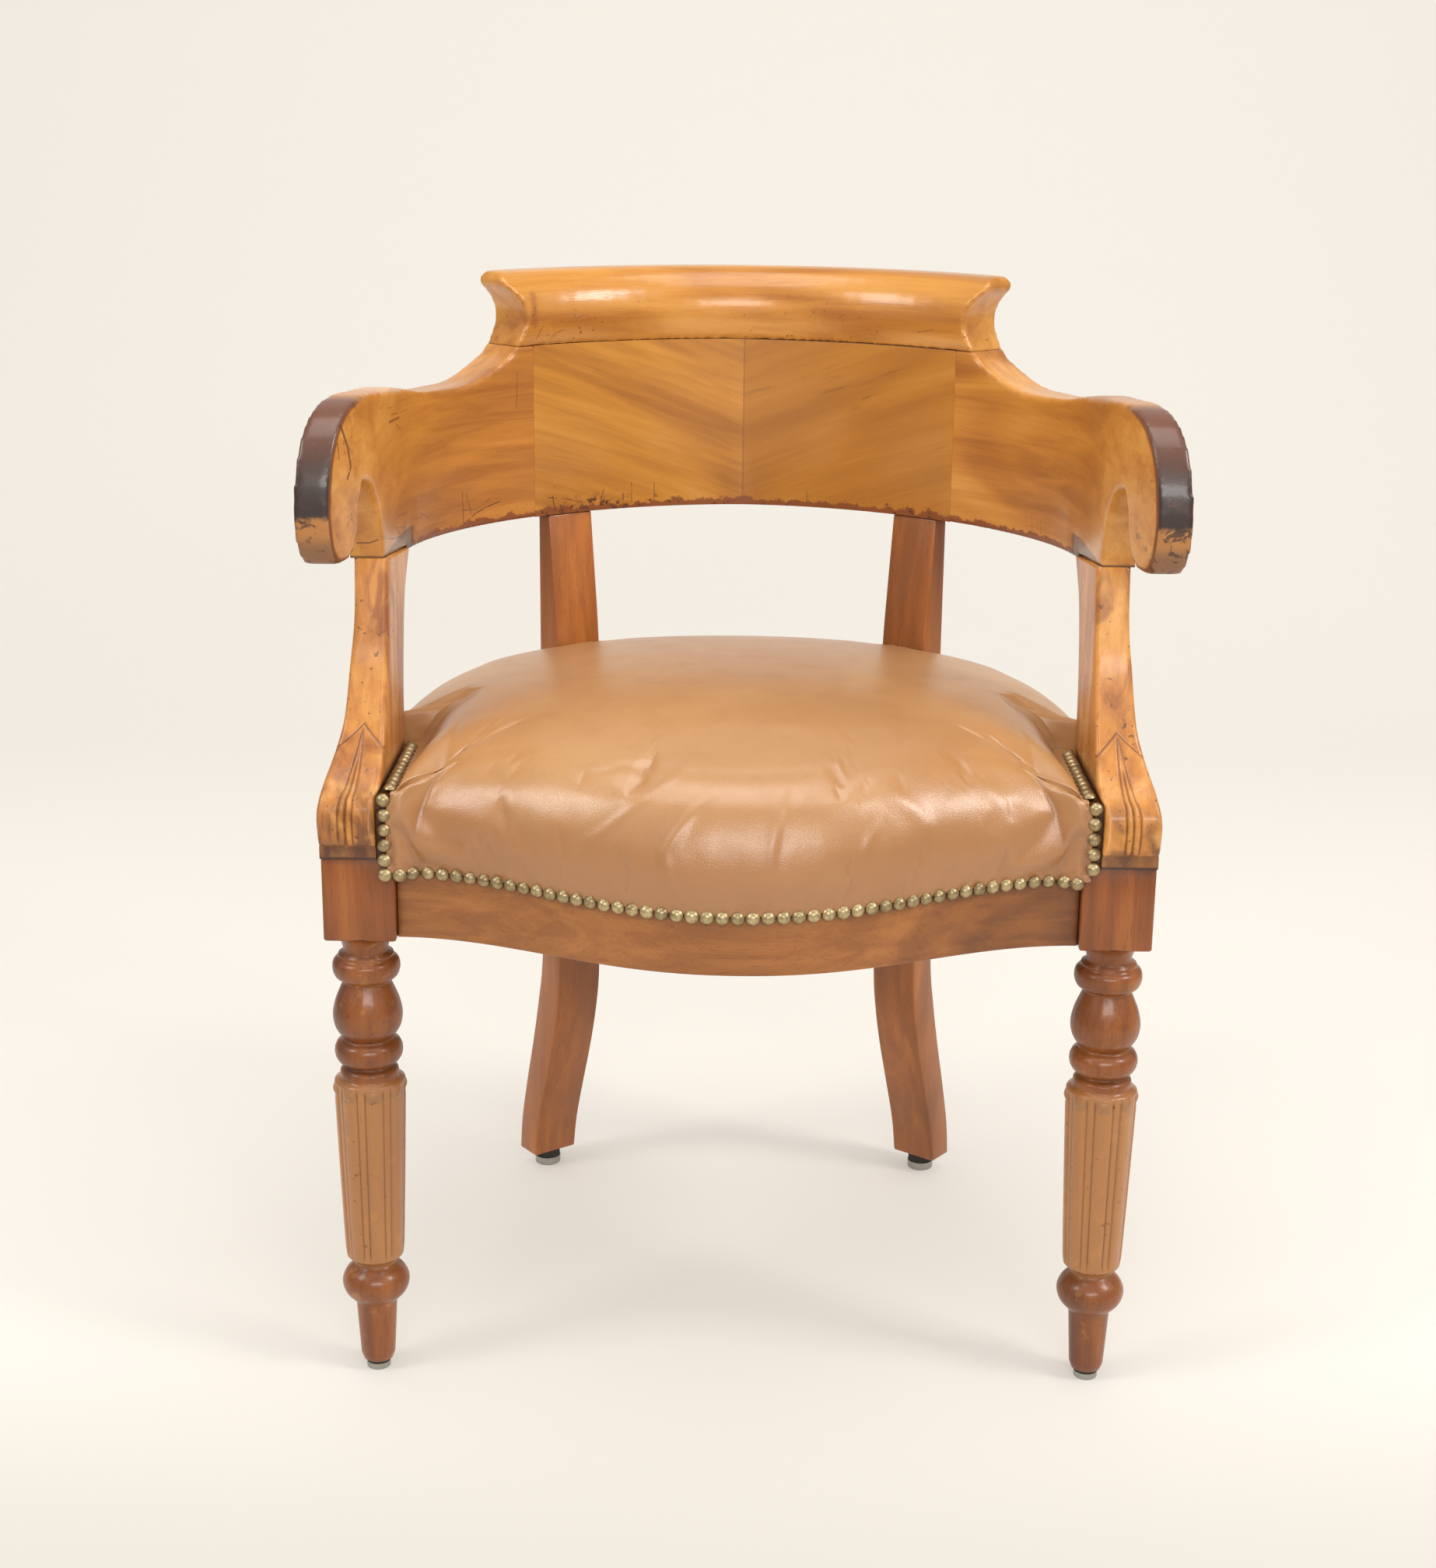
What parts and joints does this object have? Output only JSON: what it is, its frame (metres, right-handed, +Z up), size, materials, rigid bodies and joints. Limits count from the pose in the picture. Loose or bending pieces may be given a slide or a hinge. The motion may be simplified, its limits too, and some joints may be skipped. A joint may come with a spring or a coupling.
{
  "type": "gondola desk chair",
  "caption": "Low-backed armchair for a desk: a bow-fronted leather seat, turned reeded front legs, sabre rear legs, and a yoke back whose arms end in scrolls.",
  "frame": {"origin": "centre of the chair's bounding box in plan, on the floor under the glides", "axes": "+Z up, +Y to the back of the chair, +X to the right seen from the front; the sitter faces -Y"},
  "size_m": [0.583, 0.5032, 0.777],
  "materials": {
    "leg_wood": "dark walnut-brown beech, satin polish, worn edges",
    "rear_leg_wood": "paler reddish-brown beech, satin polish",
    "rail_wood": "walnut-brown, satin polish",
    "support_wood": "orange-brown, satin polish, rubbed dark at the scroll",
    "back_wood": "golden amber polish, satin gloss",
    "veneer": "bookmatched golden veneer, satin gloss",
    "dowel_wood": "plain beech",
    "screw_steel": "dull",
    "webbing": "jute webbing",
    "spring_steel": "dull wire",
    "hessian": "hessian",
    "stuffing": "fibre stuffing",
    "leather": "tan leather, semi-gloss, creased and rubbed",
    "nail_brass": "antique brass with a grey patina",
    "glide_metal": "nickel-plated, polished",
    "washer": "dark, matt"
  },
  "bodies": {
    "root": {"front_leg_left": "leg_wood", "front_leg_right": "leg_wood", "rear_leg_left": "rear_leg_wood", "rear_leg_right": "rear_leg_wood", "seat_rail_front": "rail_wood", "seat_rail_left": "rail_wood", "seat_rail_right": "rail_wood", "seat_rail_back": "rail_wood", "corner_blocks": "rail_wood", "corner_block_screws": "screw_steel", "arm_support_left": "support_wood", "arm_support_right": "support_wood", "arm_left": "back_wood", "arm_right": "back_wood", "back_rail": "back_wood", "veneer_left": "veneer", "veneer_right": "veneer", "crest_rail": "back_wood", "crest_dowels": "dowel_wood", "arm_dowels": "dowel_wood", "support_dowels": "dowel_wood", "webbing": "webbing", "seat_springs": "spring_steel", "spring_cloth": "hessian", "seat_stuffing": "stuffing", "leather_cover": "leather", "nails_front": "nail_brass", "nails_left": "nail_brass", "nails_right": "nail_brass", "nails_back": "nail_brass", "front_glides": "glide_metal", "rear_glides": "glide_metal", "glide_washers": "washer"}
  },
  "joints": []
}
